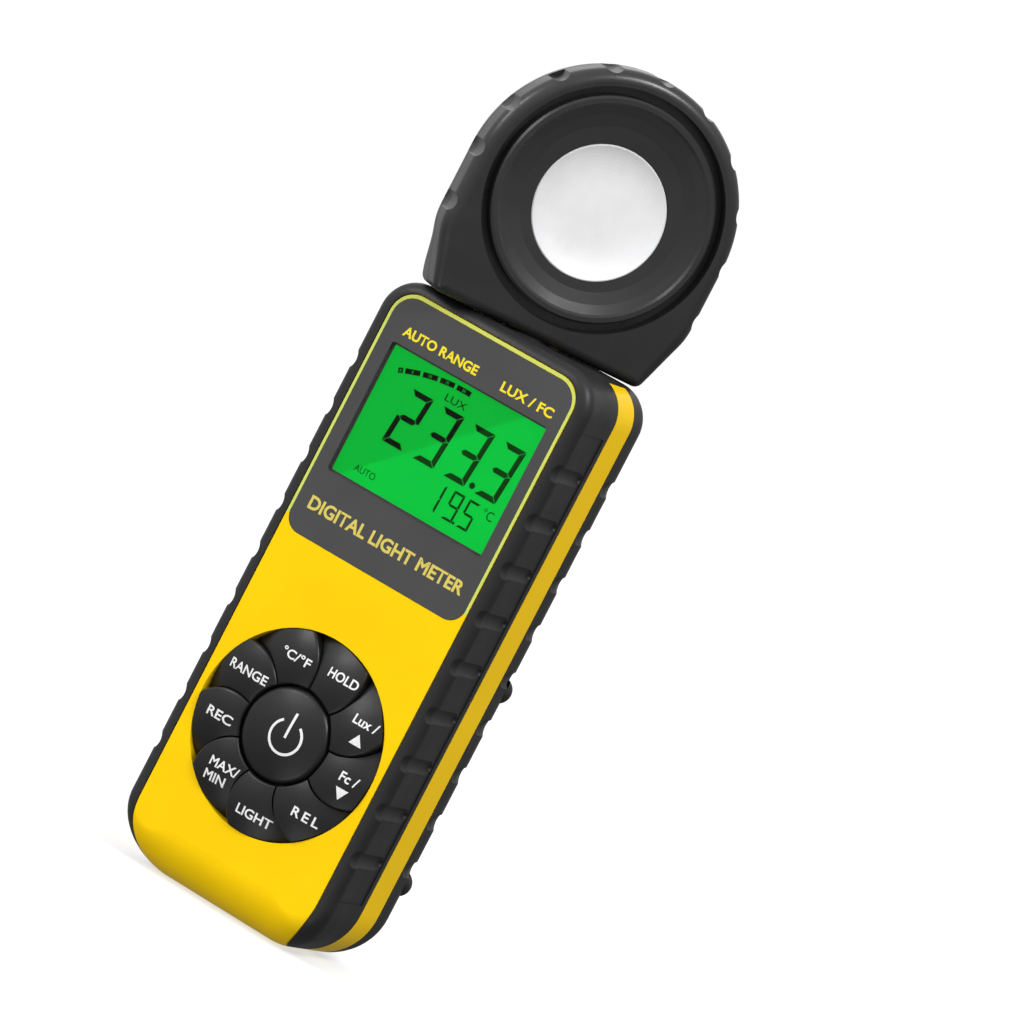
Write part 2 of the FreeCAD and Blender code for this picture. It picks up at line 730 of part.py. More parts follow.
def rim_notches():
    """Shallow grip notches round the rim and down the straight sides, fading out at the back."""
    reach = HEAD_R + RIM_NOTCH_OUT
    steps = int(180 / RIM_STEP_DEG)
    spots = []
    for i in range(steps + 1):
        a = radians(i * RIM_STEP_DEG)
        spots.append((reach * cos(a), HEAD_Z + reach * sin(a)))
    for side in (-1, 1):
        spots.append((side * reach, HEAD_Z - FLANK_NOTCH_DROP))
    cutters = []
    for x, z in spots:
        cutters.append(disc(RIM_NOTCH_R, x, z, -HEAD_HALF_T - 1, RIM_NOTCH_BACK))
        cutters.append(Part.makeSphere(RIM_NOTCH_R, V(x, RIM_NOTCH_BACK, z)))
    return cutters


HEAD_OUTER = head_block(0)
HEAD_CAVITY = head_block(HEAD_WALL)
HEAD_SCREWS = [(14.3 * i, HEAD_Z + 14.3 * j) for i in (-1, 1) for j in (-1, 1)]


def make_head_front():
    shell = HEAD_OUTER.cut(HEAD_CAVITY).common(box(-40, 40, -10, HEAD_SEAM_Y, 120, 200))
    back = WELL_FLOOR + FLOOR_T
    cup = disc(WELL_R + 1.0, 0, HEAD_Z, HEAD_WALL - HEAD_HALF_T - 0.1, back)
    posts = [disc(2.5, x, z, back - 0.1, HEAD_SEAM_Y - 0.1) for x, z in HEAD_SCREWS]
    shell = fuse(shell, cup, *posts)
    holes = [disc(1.05, x, z, WELL_FLOOR + 0.4, 1) for x, z in HEAD_SCREWS]
    cuts = holes + rim_notches() + [
        disc(WELL_R, 0, HEAD_Z, -10, WELL_FLOOR),
        disc(FLOOR_HOLE_R, 0, DIFFUSER_Z, WELL_FLOOR - 1, 1),
        pillar(SPINDLE_R + 0.02, 130, HEAD_BASE + HEAD_WALL + 0.5),
    ]
    return shell.cut(cuts)


def make_head_rear():
    shell = HEAD_OUTER.cut(HEAD_CAVITY).common(box(-40, 40, HEAD_SEAM_Y + SEAM, 10, 120, 200))
    posts = [disc(3.0, x, z, HEAD_SEAM_Y + SEAM, 5.0) for x, z in HEAD_SCREWS]
    shell = fuse(shell, *posts)
    cuts = rim_notches() + [pillar(SPINDLE_R + 0.02, 130, HEAD_BASE + HEAD_WALL + 0.5)]
    for x, z in HEAD_SCREWS:
        cuts.append(disc(1.2, x, z, -1, 10))
        cuts.append(disc(2.4, x, z, 3.6, 10))
    return shell.cut(cuts)


def make_collar():
    """Ring with a dish that falls to the diffuser."""
    profile = [
        (12.0, WELL_FLOOR),
        (12.0, DISH_FLOOR),
        (17.0, DISH_FLOOR - 0.4),
        (19.5, DISH_FLOOR - 1.0),
        (DISH_R, DISH_FLOOR - 1.7),
        (DISH_R + 0.5, COLLAR_FRONT),
        (COLLAR_R - 0.45, COLLAR_FRONT),
        (COLLAR_R, COLLAR_FRONT + 0.45),
        (COLLAR_R, WELL_FLOOR),
    ]
    return turned(profile, 0, HEAD_Z).cut(disc(DIFFUSER_R + 0.1, 0, DIFFUSER_Z, COLLAR_FRONT - 1, 0))


def make_diffuser():
    """Opal disc with a shallow bowl in front and a flange behind the collar."""
    front = DISH_FLOOR - 0.05
    flat_r, rim_r = 5.4, DIFFUSER_R - 0.25
    steps = 10
    bowl = []
    for i in range(steps + 1):
        t = i / steps
        bowl.append((flat_r + (rim_r - flat_r) * t, front + BOWL_DEPTH * (1 - t ** 3)))
    flange_front, flange_back = WELL_FLOOR + 0.1, WELL_FLOOR + 1.8
    profile = [(0, flange_back), (0, front + BOWL_DEPTH)] + bowl + [
        (DIFFUSER_R, front + 0.15),
        (DIFFUSER_R, flange_front),
        (FLOOR_HOLE_R - 0.2, flange_front),
        (FLOOR_HOLE_R - 0.2, flange_back),
    ]
    return turned(profile, 0, DIFFUSER_Z)


def make_filter():
    return disc(6.0, 0, DIFFUSER_Z, *FILTER_Y)


def make_photodiode():
    y0, y1 = DIODE_Y
    body = box(-5, 5, y0, y1, DIFFUSER_Z - 5, DIFFUSER_Z + 5)
    return body.cut(box(-3.8, 3.8, y0 - 1, y0 + 0.3, DIFFUSER_Z - 3.8, DIFFUSER_Z + 3.8))


def make_sensor_board():
    """Round board with a notch at its lower edge for the lead."""
    y0, y1 = SENSOR_BOARD_Y
    board = disc(SENSOR_BOARD_R, 0, DIFFUSER_Z, y0, y1)
    return board.cut(box(-3, 3, y0 - 1, y1 + 1, DIFFUSER_Z - SENSOR_BOARD_R - 1, DIFFUSER_Z - 13.5))


def make_sensor_cable():
    """Lead up through the spindle, leaning back into the board's notch."""
    top = 142.6
    run = pillar(1.3, 113.2, top)
    end = Part.makeCylinder(1.2, 4.2, V(0, 0, top - 0.3), V(0, 0.55, 1))
    return fuse(run, end)


def make_spindle():
    """Hollow spindle; its flange fills the foot of the head behind the well."""
    low = HEAD_BASE + HEAD_WALL + 0.1
    flange = box(-9, 9, WELL_FLOOR + FLOOR_T + 0.2, 4.2, low, low + 3.1).common(head_block(HEAD_WALL + 0.1))
    stem = pillar(SPINDLE_R, SPINDLE_BOTTOM, low + 0.4)
    groove = pillar(SPINDLE_R + 1, 123.65, 124.35).cut(pillar(4.35, 123, 125))
    bore = pillar(SPINDLE_BORE, 119, 140)
    pin_hole = Part.makeCylinder(STOP_PIN_R, 8, V(3.0, 0, STOP_PIN_Z), ALONG_X)
    return fuse(stem, flange).cut([groove, bore, pin_hole])


def make_stop_pin():
    return Part.makeCylinder(STOP_PIN_R, 5.2, V(3.1, 0, STOP_PIN_Z), ALONG_X)


def make_clip():
    ring = pillar(6.5, 123.7, 124.3).cut(pillar(4.4, 123, 125))
    return ring.cut(box(-1.9, 1.9, 0, 9, 123, 125))


def make_bush():
    """Swivel bush with a hanging stop segment that leaves the head 270 degrees of turn."""
    tube = pillar(BUSH_R - 0.02, BUSH_BOTTOM, BODY_TOP, 0, SWIVEL_Y)
    flange = pillar(BUSH_FLANGE_R, BUSH_BOTTOM, BUSH_SEAT_Z - 0.05, 0, SWIVEL_Y)
    flange = flange.common(box(-20, 20, -20, PART_Y - 0.1, 120, 140))
    stop = arc_band(V(0, SWIVEL_Y, STOP_PIN_Z - 1.2), 7.1, BUSH_FLANGE_R, STOP_MID_DEG - STOP_HALF_DEG,
                    STOP_MID_DEG + STOP_HALF_DEG, V(0, 0, BUSH_BOTTOM - STOP_PIN_Z + 1.3))
    bore = pillar(SPINDLE_R + BUSH_CLEAR, 120, 140, 0, SWIVEL_Y)
    return fuse(tube, flange, stop).cut(bore)


def make_washer():
    return pillar(6.6, 124.6, 125.1, 0, SWIVEL_Y).cut(pillar(SPINDLE_R + 0.2, 124, 126, 0, SWIVEL_Y))


def main():
    os.makedirs("parts", exist_ok=True)

    save("front_case", make_front_case())
    save("side_grip", make_side_grip())
    save("rear_case", make_rear_case())
    save("rear_grip", make_rear_grip())
    save("corner_bumpers", make_corner_bumpers())
    save("battery_door", make_battery_door())
    save("door_screw", screw(0, DOOR_SCREW_Z, BACK - 1.1, 10.2, 2.6, 1.4, 1.0))
    insert = disc(2.15, 0, DOOR_SCREW_Z, 9.0, 14.0).cut(disc(1.55, 0, DOOR_SCREW_Z, 8, 15))
    save("door_insert", insert)
    save("case_screws", group([screw(x, z, 14.65, -1.0, 2.6, 1.3, 1.5) for x, z in CASE_SCREWS]))

    save("label_panel", make_label())
    save("display_window", lens_prism(FRONT - 0.05, FRONT + LENS_T))
    save("lcd_glass", make_lcd_glass())
    save("lcd_holder", make_lcd_holder())
    save("backlight", box(-20.0, 20.0, -8.8, -6.9, 89.9, 118.4))
    save("zebra_strips", make_zebra())

    for name, key in make_petals().items():
        save("key_" + name, key)
    save("key_power", make_power_key())
    save("key_membrane", make_membrane())
    save("switch_domes", make_domes())

    save("main_board", make_board())
    save("board_chips", make_chips())
    save("board_small_parts", make_small_parts())
    save("board_screws", group([screw(x, z, BOARD_Y[1], -9.2, 2.0, 1.0, 1.2) for x, z in BOARD_SCREWS]))
    save("temperature_sensor", Part.makeSphere(1.1, V(17.5, BOARD_Y[1] + 1.4, 104)))
    save("cable_socket", box(-4, 4, BOARD_Y[1], 3.2, 106.0, 112.6))

    save("cell_left", make_cell(-1))
    save("cell_right", make_cell(1))
    save("battery_plates", make_contacts())
    save("battery_springs", make_springs())

    save("swivel_bush", make_bush())
    save("friction_washer", make_washer())

    head = {
        "head_front": make_head_front(),
        "head_rear": make_head_rear(),
        "head_screws": group([screw(x, z, 3.65, -2.2, 2.1, 1.0, 1.2) for x, z in HEAD_SCREWS]),
        "sensor_collar": make_collar(),
        "diffuser": make_diffuser(),
        "colour_filter": make_filter(),
        "photodiode": make_photodiode(),
        "sensor_board": make_sensor_board(),
        "sensor_cable": make_sensor_cable(),
        "swivel_spindle": make_spindle(),
        "stop_pin": make_stop_pin(),
        "retaining_clip": make_clip(),
    }
    for name, shape in head.items():
        shape.rotate(V(0, 0, 0), ALONG_Z, HEAD_TURN)
        shape.translate(V(0, SWIVEL_Y, 0))
        save(name, shape)


main()
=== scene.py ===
"""Looks of the hand-held light meter: materials, printing, display image, studio."""

import json
import math

import bmesh
import bpy
from mathutils import Matrix, Vector
from mathutils.bvhtree import BVHTree


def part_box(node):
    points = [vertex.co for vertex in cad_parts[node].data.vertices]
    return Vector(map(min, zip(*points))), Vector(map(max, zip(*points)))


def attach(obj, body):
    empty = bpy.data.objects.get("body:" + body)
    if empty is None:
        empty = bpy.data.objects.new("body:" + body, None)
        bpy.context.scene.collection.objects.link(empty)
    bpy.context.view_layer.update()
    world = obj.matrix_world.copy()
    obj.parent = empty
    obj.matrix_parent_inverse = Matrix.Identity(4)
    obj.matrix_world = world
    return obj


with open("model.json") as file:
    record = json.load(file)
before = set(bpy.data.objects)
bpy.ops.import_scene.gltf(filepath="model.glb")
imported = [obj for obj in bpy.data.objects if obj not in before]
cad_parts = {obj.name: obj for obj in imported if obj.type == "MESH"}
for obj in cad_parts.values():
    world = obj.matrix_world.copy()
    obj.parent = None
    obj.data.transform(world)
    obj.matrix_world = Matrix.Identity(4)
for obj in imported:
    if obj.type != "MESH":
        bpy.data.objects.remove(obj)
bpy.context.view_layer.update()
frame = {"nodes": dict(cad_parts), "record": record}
NODES = frame["nodes"]
MM = 0.001

# ---- camera: a long lens from the front right, rolled so that the meter leans ----
CAMERA_AZIMUTH = 25.2
CAMERA_ELEVATION = 5.2
CAMERA_ROLL = 27.4
CAMERA_DISTANCE = 1.409
CAMERA_AIM = Vector((0.0154, 0.0002, 0.0993))
CAMERA_LENS = 246.3

# ---- places, in millimetres in the frame's axes ----
DIAL_Z = (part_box("key_power")[0].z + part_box("key_power")[1].z) / 2 / MM
FACE_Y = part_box("front_case")[0].y / MM
LCD_FRONT_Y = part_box("lcd_glass")[0].y / MM
LABEL_FRONT_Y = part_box("label_panel")[0].y / MM
WINDOW_BACK_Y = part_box("display_window")[1].y / MM
WINDOW_X = (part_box("display_window")[0].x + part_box("display_window")[1].x) / 2 / MM
WINDOW_HALF = (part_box("display_window")[1].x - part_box("display_window")[0].x) / 2 / MM
WINDOW_Z = (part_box("display_window")[0].z / MM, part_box("display_window")[1].z / MM)

# ---- printing, in millimetres ----
INK = 0.03               # how far printing stands above a flat surface
KEY_INK = 0.06           # and above a crowned key
INK_ROOT = 0.02          # how far its back goes below the surface
LEGEND_CAP = 2.05        # capital height of the key legends
LEGEND_BOLD = 0.05
LEGEND_SHIFT = 1.13      # all key printing sits this far to the right of its key
ARROW = (2.9, 2.4)       # width and height

POWER_RING_R = 3.6
POWER_STROKE = 0.55
POWER_GAP_DEG = 35       # half of the opening at the ring's top
POWER_RING_Z = -0.05     # the ring's middle from the key's middle
POWER_BAR_Z = 0.15       # and where the bar is measured from
POWER_BAR_TOP = 5.1
POWER_BAR_STEP = 0.55

CORNER_STEPS = 10        # straight pieces in each rounded corner
OUTLINE_Z = (78.0, 129.35)
OUTLINE_HALF = 23.17
OUTLINE_SIDE_W = 0.61
OUTLINE_TOP_W = 0.69
OUTLINE_CORNERS = (5.5, 4.9)          # outer and inner radius

WHITE = (0.80, 0.80, 0.80)
TITLE_YELLOW = (0.66, 0.54, 0.11)
HEADING_YELLOW = (0.86, 0.70, 0.02)
LINE_YELLOW = (0.57, 0.66, 0.13)

# ---- display: painted reflection, two tones either side of a slanting line, z - slope * x, in metres ----
GLARE_SLOPE = 0.914
GLARE_LEVEL = 0.1055
GLARE_BLEND = 0.0004

# ---- display figures, in millimetres ----
SEGMENT_T = 0.02
BIG_FIGURE = (5.35, 12.2, 1.2)        # width, height, stroke
BIG_PLACE = (-12.1, 100.05)           # lower left corner of the first big figure
BIG_PITCH = 7.9
BIG_SLANT = 0.09
SMALL_FIGURE = (2.75, 6.2, 0.52)
SMALL_Z = 92.4
SMALL_SLANT = 0.03
SCALE_CENTRE = (-0.5, 73.85)          # the bar scale is an arc about this point
SCALE_R = 43.0
SCALE_HALF = 0.56

# ---- surfaces ----
GLOSS_WANDER = 0.06      # how far a moulding's roughness strays either way

# ---- studio ----
SURROUND_R = 7.0         # radius of the floor in metres; the backdrop stands just outside it
LIGHT_AIM = Vector((0, 0, 0.1))
UPWARD = (-0.25, 0, 1)   # the room is bright toward here, up and a little to the left
FORWARD = (-0.3, -1, 0)  # and toward here, in front


# ---------------------------------------------------------------- helpers
def collection_add(obj):
    """Links an object to the scene."""
    bpy.context.scene.collection.objects.link(obj)
    return obj


def mesh_object(name, bm):
    """Object made from a bmesh, which it frees."""
    mesh = bpy.data.meshes.new(name)
    bmesh.ops.recalc_face_normals(bm, faces=bm.faces)
    bm.to_mesh(mesh)
    bm.free()
    return collection_add(bpy.data.objects.new(name, mesh))


def dress(obj, mat):
    """The object's only material."""
    obj.data.materials.clear()
    obj.data.materials.append(mat)


def plate(bm, outline, y_front, thickness):
    """Flat plate facing the front; outline is a list of (x, z) in millimetres."""
    front = [bm.verts.new((x * MM, y_front * MM, z * MM)) for x, z in outline]
    back = [bm.verts.new((x * MM, (y_front + thickness) * MM, z * MM)) for x, z in outline]
    bm.faces.new(front)
    bm.faces.new(list(reversed(back)))
    count = len(outline)
    for i in range(count):
        j = (i + 1) % count
        bm.faces.new((front[j], front[i], back[i], back[j]))


def strip(bm, outer, inner, y_front, thickness, closed):
    """Flat band between two outlines with the same number of (x, z) points."""
    rows = []
    for (ox, oz), (ix, iz) in zip(outer, inner):
        y_back = y_front + thickness
        corners = ((ox, oz, y_front), (ix, iz, y_front), (ix, iz, y_back), (ox, oz, y_back))
        rows.append([bm.verts.new((x * MM, y * MM, z * MM)) for x, z, y in corners])
    pairs = list(zip(rows, rows[1:]))
    if closed:
        pairs.append((rows[-1], rows[0]))
    for a, b in pairs:
        for i in range(4):
            j = (i + 1) % 4
            bm.faces.new((a[i], a[j], b[j], b[i]))
    if not closed:
        bm.faces.new(rows[0])
        bm.faces.new(list(reversed(rows[-1])))


def circle(x, z, radius):
    """Outline of a small disc."""
    steps = 24
    turn = 2 * math.pi / steps
    return [(x + radius * math.cos(turn * i), z + radius * math.sin(turn * i)) for i in range(steps)]


def surface_finder(node):
    """Returns y(x, z) of the front-most surface of a CAD node, in millimetres."""
    obj = NODES[node]
    bm = bmesh.new()
    bm.from_mesh(obj.data)
    tree = BVHTree.FromBMesh(bm)
    bm.free()
    start_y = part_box(node)[0].y - 0.01

    def y_at(x, z):
        hit = tree.ray_cast(Vector((x * MM, start_y, z * MM)), Vector((0, 1, 0)))
        if hit[0] is None:
            hit = tree.find_nearest(Vector((x * MM, start_y + 0.01, z * MM)))
        return hit[0].y / MM

    return y_at


def thicken(bm, by):
    """Moves the outlines of flat letters outwards, with short corners."""
    moves = []
    for vertex in bm.verts:
        walls = [face.normal for face in vertex.link_faces if abs(face.normal.y) < 0.5]
        first = walls[0]
        other = min(walls, key=lambda normal: normal.dot(first))
        reach = (first + other) / max(1 + first.dot(other), 0.6)
        moves.append((vertex, reach * by))
    for vertex, move in moves:
        vertex.co += move


def text_mesh(words, cap, width=None, bold=0.0, spacing=1.0):
    """Letters as a closed mesh in the XZ plane, centred on the origin, in millimetres.

    Local y is 0 at the front of the ink and INK at its back.
    """
    curve = bpy.data.curves.new("letters", "FONT")
    curve.body = words
    curve.align_x = "CENTER"
    curve.space_character = spacing
    curve.extrude = 0.01
    curve.resolution_u = 4
    holder = collection_add(bpy.data.objects.new("letters", curve))
    bpy.context.view_layer.update()
    mesh = bpy.data.meshes.new_from_object(holder.evaluated_get(bpy.context.evaluated_depsgraph_get()))
    bpy.data.objects.remove(holder)
    points = [v.co.copy() for v in mesh.vertices]
    low = Vector((min(p.x for p in points), min(p.y for p in points)))
    high = Vector((max(p.x for p in points), max(p.y for p in points)))
    scale = (cap - 2 * bold) / (high.y - low.y)
    stretch = scale if width is None else (width - 2 * bold) / (high.x - low.x)
    middle = (low + high) / 2
    for vertex, p in zip(mesh.vertices, points):
        back = 0.0 if p.z > 0 else INK
        vertex.co = ((p.x - middle.x) * stretch, back, (p.y - middle.y) * scale)
    bm = bmesh.new()
    bm.from_mesh(mesh)
    bmesh.ops.remove_doubles(bm, verts=bm.verts, dist=1e-4)
    bmesh.ops.recalc_face_normals(bm, faces=bm.faces)
    if bold:
        thicken(bm, bold)
    bm.to_mesh(mesh)
    bm.free()
    return mesh


def print_on(name, mesh, x, z, y_at, mat, body, rise=INK):
    """Lays a letters mesh on a surface around (x, z) and lets it ride on a body.

    Its front stands out by rise and its back lies a little below the surface.
    """
    for vertex in mesh.vertices:
        px = x + vertex.co.x
        pz = z + vertex.co.z
        depth = vertex.co.y / INK
        vertex.co = (px * MM, (y_at(px, pz) - rise + depth * (rise + INK_ROOT)) * MM, pz * MM)
    obj = collection_add(bpy.data.objects.new(name, mesh))
    dress(obj, mat)
    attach(obj, body)


# ---------------------------------------------------------------- materials
def new_material(name, color, roughness, specular=0.5, metallic=0.0):
    mat = bpy.data.materials.new(name)
    mat.use_nodes = True
    shader = mat.node_tree.nodes["Principled BSDF"]
    shader.inputs["Base Color"].default_value = (*color, 1)
    shader.inputs["Roughness"].default_value = roughness
    shader.inputs["Specular IOR Level"].default_value = specular
    shader.inputs["Metallic"].default_value = metallic
    return mat, mat.node_tree, shader


def noise(tree, scale, detail, stretch=(1, 1, 1)):
    """Noise in the object's own space; scale is in cycles per metre."""
    coords = tree.nodes.new("ShaderNodeTexCoord")
    mapping = tree.nodes.new("ShaderNodeMapping")
    mapping.inputs["Scale"].default_value = stretch
    texture = tree.nodes.new("ShaderNodeTexNoise")
    texture.inputs["Scale"].default_value = scale
    texture.inputs["Detail"].default_value = detail
    texture.inputs["Roughness"].default_value = 0.55
    tree.links.new(coords.outputs["Object"], mapping.inputs["Vector"])
    tree.links.new(mapping.outputs["Vector"], texture.inputs["Vector"])
    return texture.outputs["Fac"]


def remap(tree, value, low, high, from_low=0.3, from_high=0.7):
    """Stretches a value from one range to another; the default range suits noise."""
    node = tree.nodes.new("ShaderNodeMapRange")
    node.inputs["From Min"].default_value = from_low
    node.inputs["From Max"].default_value = from_high
    node.inputs["To Min"].default_value = low
    node.inputs["To Max"].default_value = high
    tree.links.new(value, node.inputs["Value"])
    return node.outputs["Result"]


def tint(tree, socket, value, dark, light):
    """Colour that wanders between two tones with a value from 0 to 1."""
    mix = tree.nodes.new("ShaderNodeMix")
    mix.data_type = "RGBA"
    mix.inputs["A"].default_value = (*dark, 1)
    mix.inputs["B"].default_value = (*light, 1)
    tree.links.new(value, mix.inputs["Factor"])
    tree.links.new(mix.outputs["Result"], socket)


def bump(tree, shader, value, distance_mm):
    node = tree.nodes.new("ShaderNodeBump")
    node.inputs["Strength"].default_value = 1.0
    node.inputs["Distance"].default_value = distance_mm * MM
    tree.links.new(value, node.inputs["Height"])
    tree.links.new(node.outputs["Normal"], shader.inputs["Normal"])


def moulded(name, dark, light, roughness, grain_mm, grain_depth_mm, specular=0.5):
    """Injection-moulded surface: fine spark texture, slow changes of tone and gloss."""
    mat, tree, shader = new_material(name, light, roughness, specular)
    slow = noise(tree, 45, 3)
    tint(tree, shader.inputs["Base Color"], remap(tree, slow, 0, 1), dark, light)
    gloss = noise(tree, 160, 4)
    wander = remap(tree, gloss, roughness - GLOSS_WANDER, roughness + GLOSS_WANDER)
    tree.links.new(wander, shader.inputs["Roughness"])
    grain = noise(tree, 1 / (grain_mm * MM), 2)
    bump(tree, shader, grain, grain_depth_mm)
    return mat


def black(name, tone, roughness, grain_mm=0.3, grain_depth_mm=0.008, specular=0.35):
    """Near-black moulding, a little lighter where the grain is open."""
    light = (tone * 1.25, tone * 1.25, tone * 1.29)
    return moulded(name, (tone, tone, tone), light, roughness, grain_mm, grain_depth_mm, specular)


def metal(name, color, roughness):
    """Drawn or turned metal with fine lines."""
    mat, tree, shader = new_material(name, color, roughness, 0.5, 1.0)
    lines = noise(tree, 600, 3, (1, 1, 30))
    tree.links.new(remap(tree, lines, roughness - 0.08, roughness + 0.1), shader.inputs["Roughness"])
    bump(tree, shader, lines, 0.004)
    return mat


def ink(name, color):
    """Screen-printed ink: nearly even, a little grainy."""
    mat, tree, shader = new_material(name, color, 0.5, 0.2)
    grain = noise(tree, 2500, 2)
    dark = tuple(c * 0.93 for c in color)
    tint(tree, shader.inputs["Base Color"], remap(tree, grain, 0, 1), dark, color)
    return mat


def opal():
    """Diffusing acrylic."""
    mat, tree, shader = new_material("opal_acrylic", (0.79, 0.79, 0.80), 0.42, 0.3)
    shader.inputs["Subsurface Weight"].default_value = 0.1
    shader.inputs["Subsurface Radius"].default_value = (0.003, 0.003, 0.003)
    shader.inputs["Subsurface Scale"].default_value = 1.0
    haze = noise(tree, 220, 3)
    tint(tree, shader.inputs["Base Color"], remap(tree, haze, 0, 1), (0.77, 0.77, 0.78), (0.81, 0.81, 0.82))
    bump(tree, shader, noise(tree, 2600, 2), 0.006)
    return mat


def painted_glare_side(tree):
    """Mask of the display's painted reflection: 0 above the slanting line, 1 below it, in the frame's own
    space.
    """
    coords = tree.nodes.new("ShaderNodeTexCoord")
    split = tree.nodes.new("ShaderNodeSeparateXYZ")
    tree.links.new(coords.outputs["Object"], split.inputs["Vector"])
    slope = tree.nodes.new("ShaderNodeMath")
    slope.operation = "MULTIPLY_ADD"
    slope.inputs[1].default_value = -GLARE_SLOPE
    tree.links.new(split.outputs["X"], slope.inputs[0])
    tree.links.new(split.outputs["Z"], slope.inputs[2])
    return remap(tree, slope.outputs["Value"], 1, 0, GLARE_LEVEL - GLARE_BLEND, GLARE_LEVEL + GLARE_BLEND)


def lit_display():
    """Backlit liquid crystal, glowing green, with a painted reflection: the glow is dimmer above the
    slanting line.
    """
    mat, tree, shader = new_material("lit_display", (0.0, 0.06, 0.01), 0.3, 0.05)
    # painted reflection: a dimmer green above the display's slanting line, a brighter one below it
    tint(tree, shader.inputs["Emission Color"], painted_glare_side(tree), (0.0, 0.43, 0.026), (0.0, 0.54, 0.040))
    glow = remap(tree, noise(tree, 60, 2), 0.96, 1.04)
    tree.links.new(glow, shader.inputs["Emission Strength"])
    return mat


def dark_crystal():
    """Darkened segments: black, with a painted reflection that glows dark green below the slanting line."""
    mat, tree, shader = new_material("dark_crystal", (0.001, 0.003, 0.001), 0.4, 0.05)
    # painted reflection: the segments glow dark green below the display's slanting line
    tint(tree, shader.inputs["Emission Color"], painted_glare_side(tree), (0.0, 0.002, 0.0), (0.0, 0.040, 0.001))
    shader.inputs["Emission Strength"].default_value = 1.0
    return mat


def clear_window():
    """Clear lens: nearly invisible, with a faint reflection."""
    mat, tree, shader = new_material("window_clear", (0.02, 0.02, 0.02), 0.04, 0.3)
    shader.inputs["Alpha"].default_value = 0.05
    tree.links.new(remap(tree, noise(tree, 200, 2), 0.03, 0.06), shader.inputs["Roughness"])
    return mat


BLACKS = [
    # slot, tone, roughness, then grain size and depth in millimetres and specular level
    ("grip_rubber", 0.010, 0.46, 0.25, 0.012),
    ("rear_plastic", 0.012, 0.44, 0.4, 0.012),
    ("key_rubber", 0.0065, 0.36, 0.3, 0.008, 0.34),
    ("head_plastic", 0.014, 0.30, 0.3, 0.008, 0.5),
    ("collar_plastic", 0.021, 0.36, 0.3, 0.004),
    ("label_print", 0.050, 0.45, 0.2, 0.003, 0.2),
    ("holder_plastic", 0.015, 0.5, 0.4),
    ("bush_acetal", 0.03, 0.35, 0.5, 0.004),
    ("chip_epoxy", 0.02, 0.55, 0.2),
]
MOULDINGS = [
    # slot, darker and lighter tone, roughness, grain size and depth in millimetres, specular level
    ("yellow_shell", (0.87, 0.55, 0.0), (0.92, 0.595, 0.0), 0.36, 0.35, 0.006, 0.1),
    ("strip_rubber", (0.3, 0.3, 0.3), (0.4, 0.4, 0.4), 0.6, 0.3, 0.01),
    ("membrane_rubber", (0.22, 0.22, 0.22), (0.27, 0.27, 0.27), 0.6, 0.3, 0.01),
    ("board_laminate", (0.01, 0.13, 0.04), (0.02, 0.18, 0.06), 0.35, 0.5, 0.01),
    ("socket_nylon", (0.7, 0.67, 0.56), (0.76, 0.73, 0.62), 0.5, 0.3, 0.01),
    ("cell_wrap", (0.5, 0.51, 0.5), (0.6, 0.61, 0.6), 0.3, 0.5, 0.002),
    ("backlight_panel", (0.5, 0.8, 0.55), (0.6, 0.9, 0.65), 0.4, 0.4, 0.004),
    ("diode_package", (0.02, 0.02, 0.03), (0.03, 0.03, 0.05), 0.2, 0.3, 0.002),
    ("filter_glass", (0.2, 0.42, 0.22), (0.24, 0.46, 0.26), 0.1, 0.6, 0.0005),
    ("cable_sheath", (0.12, 0.12, 0.12), (0.16, 0.16, 0.16), 0.5, 0.3, 0.01),
]
METALS = [
    # slot, colour, roughness
    ("steel", (0.56, 0.56, 0.57), 0.32),
    ("brass", (0.7, 0.5, 0.2), 0.3),
    ("aluminium_cans", (0.7, 0.7, 0.71), 0.3),
    ("plated_contacts", (0.66, 0.65, 0.62), 0.22),
]


def make_materials():
    """One material for each of the record's slots."""
    made = {
        "opal_acrylic": opal(),
        "lcd_cell": lit_display(),
        "window_clear": clear_window(),
    }
    for make, rows in ((black, BLACKS), (moulded, MOULDINGS), (metal, METALS)):
        for name, *look in rows:
            made[name] = make(name, *look)
    return made


def dress_nodes(made):
    """Gives each CAD node the material of its record slot."""
    slot_of = {entry["node"]: entry["material_slot"] for entry in frame["record"]["subparts"]}
    for node, obj in NODES.items():
        dress(obj, made[slot_of[node]])


# ---------------------------------------------------------------- printing on the keys
def triangle_mesh(width, height, points_up):
    """Flat arrow, divided about its middle so that it can follow a crowned key."""
    tip = height / 2 if points_up else -height / 2
    corners = [Vector((-width / 2, -tip)), Vector((width / 2, -tip)), Vector((0, tip))]
    outline = []
    for i, corner in enumerate(corners):
        outline.append(corner)
        outline.append((corner + corners[(i + 1) % 3]) / 2)
    centre = sum(corners, Vector((0, 0))) / 3
    bm = bmesh.new()
    sheets = []
    for y in (0, INK):
        middle = bm.verts.new((centre.x, y, centre.y))
        rim = [bm.verts.new((p.x, y, p.y)) for p in outline]
        sheets.append(rim)
        for i, vertex in enumerate(rim):
            bm.faces.new((middle, vertex, rim[(i + 1) % len(rim)]))
    front, back = sheets
    for i, vertex in enumerate(front):
        j = (i + 1) % len(front)
        bm.faces.new((vertex, front[j], back[j], back[i]))
    bmesh.ops.recalc_face_normals(bm, faces=bm.faces)
    mesh = bpy.data.meshes.new("arrow")
    bm.to_mesh(mesh)
    bm.free()
    return mesh


